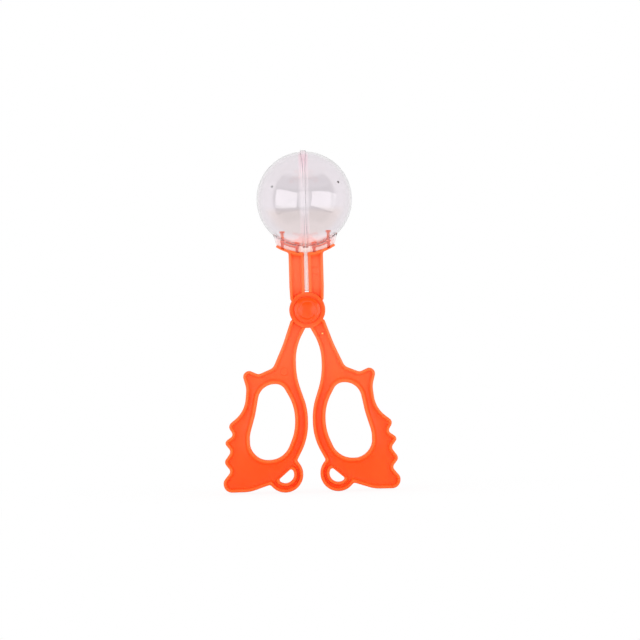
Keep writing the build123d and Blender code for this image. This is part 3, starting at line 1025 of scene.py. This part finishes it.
def mouldedPolypropylene(name):  # satin moulded surface that glows within, with painted highlights on the rims, painted light by height, painted shade near the middle and a painted glint on the gate nub
    look, shared = polypropylene[name], polypropylene
    material, tree = newMaterial(name)
    place = addNode(tree, "ShaderNodeTexCoord").outputs["Object"]
    mottle = addNode(
        tree,
        "ShaderNodeTexNoise",
        values={"Scale": 1 / (shared["mottle"] * toMetres), "Detail": 2.0, "Roughness": 0.5},
        links={"Vector": place},
    ).outputs["Fac"]
    grain = addNode(
        tree,
        "ShaderNodeTexNoise",
        values={"Scale": 1 / (shared["grain"] * toMetres), "Detail": 3.0, "Roughness": 0.6},
        links={"Vector": place},
    ).outputs["Fac"]
    sides = addNode(tree, "ShaderNodeVectorMath", absolute, links={0: place}).outputs[0]
    way = addNode(tree, "ShaderNodeSeparateXYZ", links={"Vector": sides}).outputs
    outward = addNode(
        tree,
        "ShaderNodeMapRange",
        values=rangeEnds(metres(*shared["middle"])),
        links={"Value": way["X"]},
    )
    # painted shade: the redder colour near the middle, and farther out at random in broad patches
    even = addNode(tree, "ShaderNodeMath", multiply, links={0: mottle, 1: outward.outputs[0]})
    tint = addNode(
        tree,
        "ShaderNodeMix",
        mixColours,
        {6: linearColour(look["mottleAndChannelShade"]), 7: linearColour(look["colour"])},
        {0: even.outputs[0]},
    )
    # painted highlight: faces far from the middle plane, the rim tops, take a paler colour, less of it on the
    # boss
    rimFace = addNode(
        tree,
        "ShaderNodeMapRange",
        values=rangeEnds(metres(*shared["rimFace"]), (0, shared["rimShare"])),
        links={"Value": way["Y"]},
    )
    flat = addNode(tree, "ShaderNodeVectorMath", multiply, {1: (1, 0, 1)}, {0: place})
    fromPivot = addNode(
        tree,
        "ShaderNodeVectorMath",
        {"operation": "DISTANCE"},
        {1: metres(0, 0, tool["pivotHeight"])},
        {0: flat.outputs[0]},
    )
    offBoss = addNode(
        tree,
        "ShaderNodeMapRange",
        values=rangeEnds(metres(*shared["bossEdge"]), (shared["bossShare"], 1)),
        links={"Value": fromPivot.outputs["Value"]},
    )
    raised = addNode(tree, "ShaderNodeMath", multiply, links={0: rimFace.outputs[0], 1: offBoss.outputs[0]})
    rimmed = addNode(
        tree,
        "ShaderNodeMix",
        mixColours,
        {7: linearColour(look["rim"])},
        {0: raised.outputs[0], 6: tint.outputs[2]},
    )
    # painted light: a paler colour by height, most on the necks, jaws and prongs
    height = addNode(
        tree,
        "ShaderNodeMapRange",
        values=rangeEnds(metres(0, tool["height"])),
        links={"Value": way["Z"]},
    )
    litByHeight = addNode(tree, "ShaderNodeValToRGB", links={"Fac": height.outputs[0]})
    setStops(litByHeight, [(at, (share, share, share, 1)) for at, share in shared["litPalerShares"]])
    heightLit = addNode(
        tree,
        "ShaderNodeMix",
        mixColours,
        {7: linearColour(look["litPaler"])},
        {0: litByHeight.outputs[0], 6: rimmed.outputs[2]},
    )
    # painted glint on the gate nub's tip
    (x, z), y = arm["gateSpot"], tool["halfDepth"] - arm["recess"] + arm["nubHeight"]
    fromNub = addNode(
        tree,
        "ShaderNodeVectorMath",
        {"operation": "DISTANCE"},
        {1: metres(x, y, tool["pivotHeight"] + z)},
        {0: sides},
    )
    glinting = addNode(
        tree,
        "ShaderNodeMapRange",
        values=rangeEnds(metres(*shared["nubGlintRadius"]), (1, 0)),
        links={"Value": fromNub.outputs["Value"]},
    )
    withGlint = addNode(
        tree,
        "ShaderNodeMix",
        mixColours,
        {7: linearColour(shared["nubGlint"])},
        {0: glinting.outputs[0], 6: heightLit.outputs[2]},
    )
    roughnesses = [look["roughness"] + more for more in shared["glossSpread"]]
    gloss = addNode(
        tree,
        "ShaderNodeMapRange",
        values=rangeEnds(shared["mottleLevels"], roughnesses),
        links={"Value": mottle},
    )
    bump = addNode(
        tree,
        "ShaderNodeBump",
        values={"Strength": shared["grainStrength"], "Distance": shared["grainDepth"] * toMetres},
        links={"Height": grain},
    )
    shader = addNode(
        tree,
        "ShaderNodeBsdfPrincipled",
        values={
            "Subsurface Weight": shared["glow"],
            "Subsurface Radius": shared["glowColour"],
            "Subsurface Scale": shared["glowReach"] * toMetres,
            "IOR": shared["ior"],
            "Specular IOR Level": look["specular"],
            "Sheen Weight": shared["sheen"],
            "Sheen Roughness": shared["sheenRoughness"],
            "Sheen Tint": linearColour(shared["sheenColour"]),
        },
        links={"Base Color": withGlint.outputs[2], "Roughness": gloss.outputs[0], "Normal": bump.outputs[0]},
    )
    addNode(tree, "ShaderNodeOutputMaterial", links={"Surface": shader.outputs["BSDF"]})
    return material


polystyrene = {  # lengths in mm, from the tool's middle planes and its bottom
    "wall": "#F1EDF0",
    "cradleLitWall": "#EFE8E8",  # painted orange light from the cradle, on the outer faces low down above it
    "wallFace": (10.5, 15.5),  # these four are where a change begins and ends
    "cradleLitTo": (146.5, 143.0),
    "seamFlanges": (2.9, 1.4),
    "footTop": (133.0, 129.0),
    "glowSpan": (100.0, 180.0),
    "glowStops": [  # painted orange light from the arms, in the flanges, foot and tongue at each height
        (122.5, "#FFCFC5"),
        (124.5, "#FFE2DB"),
        (128.0, "#FDEAE8"),
        (132.0, "#F6EAEC"),
        (139.0, "#F6EDEF"),
        (146.0, "#FDF9FC"),
        (163.0, "#FBF5F8"),
        (171.5, "#F9E5EC"),
    ],
    "waves": 9.09,  # length of the wall's slight waviness
    "waveHeight": 0.2,
    "waveStrength": 0.022,  # none on the flanges, the foot and the tongue
    "waveLevels": (0.3, 0.7),
    "roughnesses": (0.02, 0.06),
    "footTransmission": 0.95,  # the foot is a little hazy
    "shadow": "#FFFBFC",
    "ior": 1.57,
}


def clearPolystyrene():  # polished clear moulding, with the slight waviness of a thin wall, and painted orange light from the arms low down and in its flanges, foot and tongue
    look = polystyrene
    material, tree = newMaterial("clearPolystyrene")
    place = addNode(tree, "ShaderNodeTexCoord").outputs["Object"]
    waves = addNode(
        tree,
        "ShaderNodeTexNoise",
        values={"Scale": 1 / (look["waves"] * toMetres), "Detail": 1.0, "Roughness": 0.4},
        links={"Vector": place},
    ).outputs["Fac"]
    sides = addNode(tree, "ShaderNodeVectorMath", absolute, links={0: place}).outputs[0]
    way = addNode(tree, "ShaderNodeSeparateXYZ", links={"Vector": sides}).outputs
    seam, below, facing, low = (
        addNode(
            tree,
            "ShaderNodeMapRange",
            values=rangeEnds(metres(*look[ends])),
            links={"Value": way[axis]},
        ).outputs[0]
        for ends, axis in (("seamFlanges", "X"), ("footTop", "Z"), ("wallFace", "Y"), ("cradleLitTo", "Z"))
    )
    flangesAndFoot = addNode(tree, "ShaderNodeMath", greater, links={0: seam, 1: below}).outputs[0]
    calm = addNode(
        tree,
        "ShaderNodeMapRange",
        values=rangeEnds((0, 1), (look["waveStrength"], 0)),
        links={"Value": flangesAndFoot},
    )
    bump = addNode(
        tree,
        "ShaderNodeBump",
        values={"Distance": look["waveHeight"] * toMetres},
        links={"Height": waves, "Strength": calm.outputs[0]},
    )
    # painted orange light from the cradle on the low outer faces
    cradleLitFace = addNode(tree, "ShaderNodeMath", multiply, links={0: facing, 1: low})
    wall = addNode(
        tree,
        "ShaderNodeMix",
        mixColours,
        {6: linearColour(look["wall"]), 7: linearColour(look["cradleLitWall"])},
        {0: cradleLitFace.outputs[0]},
    )
    height = addNode(
        tree,
        "ShaderNodeMapRange",
        values=rangeEnds(metres(*look["glowSpan"])),
        links={"Value": way["Z"]},
    )
    glow = addNode(tree, "ShaderNodeValToRGB", links={"Fac": height.outputs[0]})
    bottom, top = look["glowSpan"]
    stops = [((z - bottom) / (top - bottom), linearColour(colour)) for z, colour in look["glowStops"]]
    setStops(glow, stops)
    # painted orange light from the arms on the flanges, foot and tongue
    tint = addNode(
        tree,
        "ShaderNodeMix",
        mixColours,
        links={0: flangesAndFoot, 6: wall.outputs[2], 7: glow.outputs["Color"]},
    )
    gloss = addNode(
        tree,
        "ShaderNodeMapRange",
        values=rangeEnds(look["waveLevels"], look["roughnesses"]),
        links={"Value": waves},
    )
    haze = addNode(
        tree,
        "ShaderNodeMapRange",
        values=rangeEnds((0, 1), (1, look["footTransmission"])),
        links={"Value": below},
    )
    shader = addNode(
        tree,
        "ShaderNodeBsdfPrincipled",
        values={"IOR": look["ior"]},
        links={
            "Base Color": tint.outputs[2],
            "Roughness": gloss.outputs[0],
            "Normal": bump.outputs[0],
            "Transmission Weight": haze.outputs[0],
        },
    )
    shadow = addNode(tree, "ShaderNodeBsdfTransparent", values={"Color": linearColour(look["shadow"])})
    rays = addNode(tree, "ShaderNodeLightPath").outputs
    seen = addNode(  # the walls let the lamps' light through unbent
        tree,
        "ShaderNodeMixShader",
        links={0: rays["Is Shadow Ray"], 1: shader.outputs[0], 2: shadow.outputs[0]},
    )
    addNode(tree, "ShaderNodeOutputMaterial", links={"Surface": seen.outputs[0]})
    return material


# Studio: camera, three large soft lights, white surround and floor

studio = {  # in metres and degrees
    "roll": 1.6,
    "distance": 2.0,
    "viewCentre": (0.00637, 0.08789),
    "viewWidth": 0.3283,
    "sensorWidth": 36,
    "aimHeight": 0.12,
    "lightDistance": 0.75,
    "washShare": 1.04,  # a panel's wash lies this much farther away than its gleam
    "mirrors": 0.5,  # a ray mirrored fewer times than this comes straight
    "wallFaces": 1.5,  # and one that has gone into the plastic and out again counts more than this
    "panels": [  # sides, with left negative, bottom and top, lean, and radiance
        ("softLightLeft", (-18, -74), (-18, 21), -5, 1.75),
        ("softLightMiddle", (-17, 17), (-18, 20), 0, 0.5),
        ("softLightRight", (18, 82), (-22, 17), -8, 1.75),
    ],
    "roomStart": 0.12,  # the ball mirrors a darker room in front of the table, from this far forward
    "roomTop": 0.8,  # and up to this height
    "roomEdge": 0.06,
    "roomLevel": 0.1,
    "sideLevel": 1.15,
    "rearLevel": 0.95,
    "rearTurn": (0.1, 0.8),
    "softFront": 0.3,  # the light that falls on the tool from all round, strongest from its sides
    "softSide": 1.25,
    "softRear": 0.9,
    "softTurn": (-0.9, 0),  # from front to sides, as rearTurn is from sides to rear
    "floorRadius": 0.28,
    "floorPoints": 96,
    "floorColour": "#F6F6F7",
    "floorFade": (0.05, 0.2),
    "floorLevel": 0.88,  # share of white that the camera sees close to the tool
}


def makeCamera():
    data = bpy.data.cameras.new("photoCamera")
    data.sensor_width = studio["sensorWidth"]
    data.lens = studio["sensorWidth"] * studio["distance"] / studio["viewWidth"]
    camera = bpy.data.objects.new("photoCamera", data)
    roll = radians(studio["roll"])
    right, up, back = (cos(roll), 0, -sin(roll)), (sin(roll), 0, cos(roll)), (0, -1, 0)
    x, z = studio["viewCentre"]
    turn = Matrix([right, up, back]).transposed().to_4x4()
    camera.matrix_world = Matrix.Translation((x, -studio["distance"], z)) @ turn
    bpy.context.scene.collection.objects.link(camera)
    bpy.context.scene.camera = camera


def hideBehindWalls(lamp):  # looked at straight through a clear wall, the lamp isn't there
    lamp.use_nodes = True
    tree = lamp.node_tree
    rays = addNode(tree, "ShaderNodeLightPath").outputs
    straight, through = (
        addNode(tree, "ShaderNodeMath", {"operation": way}, {1: studio[limit]}, {0: rays[count]}).outputs[0]
        for way, limit, count in (
            ("LESS_THAN", "mirrors", "Glossy Depth"),
            ("GREATER_THAN", "wallFaces", "Transmission Depth"),
        )
    )
    hidden = addNode(tree, "ShaderNodeMath", multiply, links={0: straight, 1: through}).outputs[0]
    strength = addNode(tree, "ShaderNodeMath", {"operation": "SUBTRACT"}, {0: 1}, {1: hidden}).outputs[0]
    tree.links.new(strength, tree.nodes["Emission"].inputs["Strength"])


def softLight(name, azimuths, elevations, lean, radiance):  # a panel that fills these angles
    azimuth, elevation = radians(sum(azimuths) / 2), radians(sum(elevations) / 2)
    spread = [radians(abs(a[1] - a[0]) / 2) for a in (azimuths, elevations)]
    out = Vector((sin(azimuth) * cos(elevation), -cos(azimuth) * cos(elevation), sin(elevation)))
    turn = (out.to_track_quat("Z", "Y").to_matrix() @ Matrix.Rotation(radians(lean), 3, "Z")).to_euler()
    near = studio["lightDistance"]
    for part, distance in (("Wash", near * studio["washShare"]), ("Gleam", near)):
        # the wash lights matt surfaces, and the gleam is the panel as gloss and clear walls show it
        data = bpy.data.lights.new(name + part, "AREA")
        data.shape = "RECTANGLE"
        data.size, data.size_y = 2 * distance * tan(spread[0]), 2 * distance * tan(spread[1])
        data.energy = radiance * pi * data.size * data.size_y
        light = bpy.data.objects.new(name + part, data)
        light.visible_diffuse = part == "Wash"
        light.visible_glossy = light.visible_transmission = part == "Gleam"
        light.location = Vector((0, 0, studio["aimHeight"])) + out * distance
        light.rotation_euler = turn
        bpy.context.scene.collection.objects.link(light)
    hideBehindWalls(data)  # the gleam's


def makeWorld():
    world = bpy.data.worlds.new("whiteSurround")
    bpy.context.scene.world = world
    world.use_nodes = True
    tree = world.node_tree
    tree.nodes.clear()
    rays = addNode(tree, "ShaderNodeLightPath").outputs
    direction = addNode(tree, "ShaderNodeTexCoord").outputs["Generated"]
    way = addNode(tree, "ShaderNodeSeparateXYZ", links={"Vector": direction}).outputs
    rear = addNode(
        tree,
        "ShaderNodeMapRange",
        values=rangeEnds(studio["rearTurn"], (studio["sideLevel"], studio["rearLevel"])),
        links={"Value": way["Y"]},
    )
    start, top, edge = studio["roomStart"], studio["roomTop"], studio["roomEdge"]
    ahead, under = (
        addNode(
            tree,
            "ShaderNodeMapRange",
            values=rangeEnds((at + edge, at - edge)),
            links={"Value": way[axis]},
        ).outputs[0]
        for at, axis in ((-start, "Y"), (top, "Z"))
    )
    inRoom = addNode(tree, "ShaderNodeMath", multiply, links={0: ahead, 1: under})
    room = addNode(
        tree,
        "ShaderNodeMapRange",
        values={"To Max": studio["roomLevel"]},
        links={"Value": inRoom.outputs[0], "To Min": rear.outputs[0]},
    )
    softRear = addNode(
        tree,
        "ShaderNodeMapRange",
        values=rangeEnds((0, 1), (studio["softSide"], studio["softRear"])),
        links={"Value": way["Y"]},
    )
    softLevel = addNode(
        tree,
        "ShaderNodeMapRange",
        values=rangeEnds(studio["softTurn"], (studio["softFront"], 1)),
        links={"Value": way["Y"], "To Max": softRear.outputs[0]},
    )
    white, around, soft = (
        addNode(tree, "ShaderNodeBackground", values={"Color": (1, 1, 1, 1)}, links=strength).outputs[0]
        for strength in (None, {"Strength": room.outputs[0]}, {"Strength": softLevel.outputs[0]})
    )
    mirrored = addNode(  # rays that have been mirrored once see the room
        tree,
        "ShaderNodeMath",
        {"operation": "COMPARE"},
        {1: 1, 2: 0.1},
        {0: rays["Glossy Depth"]},
    )
    sharp = addNode(tree, "ShaderNodeMixShader", links={0: mirrored.outputs[0], 1: white, 2: around})
    diffuse = rays["Is Diffuse Ray"]
    shown = addNode(tree, "ShaderNodeMixShader", links={0: diffuse, 1: sharp.outputs[0], 2: soft})
    addNode(tree, "ShaderNodeOutputWorld", links={"Surface": shown.outputs[0]})


def makeFloor():  # takes the contact shadow near the tool and fades to white at its edge
    material, tree = newMaterial("paleFloor")
    place = addNode(tree, "ShaderNodeTexCoord").outputs["Object"]
    away = addNode(tree, "ShaderNodeVectorMath", {"operation": "LENGTH"}, links={"Vector": place})
    edge = addNode(
        tree,
        "ShaderNodeMapRange",
        values=rangeEnds(studio["floorFade"], (studio["floorLevel"], 1)),
        links={"Value": away.outputs["Value"]},
    )
    colour = linearColour(studio["floorColour"])
    matt = addNode(tree, "ShaderNodeBsdfDiffuse", values={"Color": colour}).outputs[0]
    glow = addNode(tree, "ShaderNodeEmission", values={"Strength": 1.0}).outputs[0]
    faded = addNode(tree, "ShaderNodeMixShader", links={0: edge.outputs[0], 1: matt, 2: glow})
    rays = addNode(tree, "ShaderNodeLightPath").outputs
    seen = addNode(
        tree,
        "ShaderNodeMath",
        greater,
        links={0: rays["Is Camera Ray"], 1: rays["Is Transmission Ray"]},
    )
    chosen = addNode(tree, "ShaderNodeMixShader", links={0: seen.outputs[0], 1: matt, 2: faded.outputs[0]})
    addNode(tree, "ShaderNodeOutputMaterial", links={"Surface": chosen.outputs[0]})
    ring = circle(studio["floorRadius"], studio["floorPoints"])
    mesh = bpy.data.meshes.new("floor")
    mesh.from_pydata([(x, y, 0) for x, y in ring], [], [tuple(range(len(ring)))])
    newObject("studioFloor", mesh, material)


makeCamera()
orange, pinOrange = mouldedPolypropylene("orangePolypropylene"), mouldedPolypropylene("pinPolypropylene")
clear = clearPolystyrene()
print("materials: two polypropylenes and a clear polystyrene")
armPieces(orange)
cupPieces(clear)
pivotPieces(pinOrange)
for panel in studio["panels"]:
    softLight(*panel)
makeWorld()
makeFloor()
bpy.context.scene.view_settings.view_transform = "Standard"
print("stage: camera, lights, surround and floor")
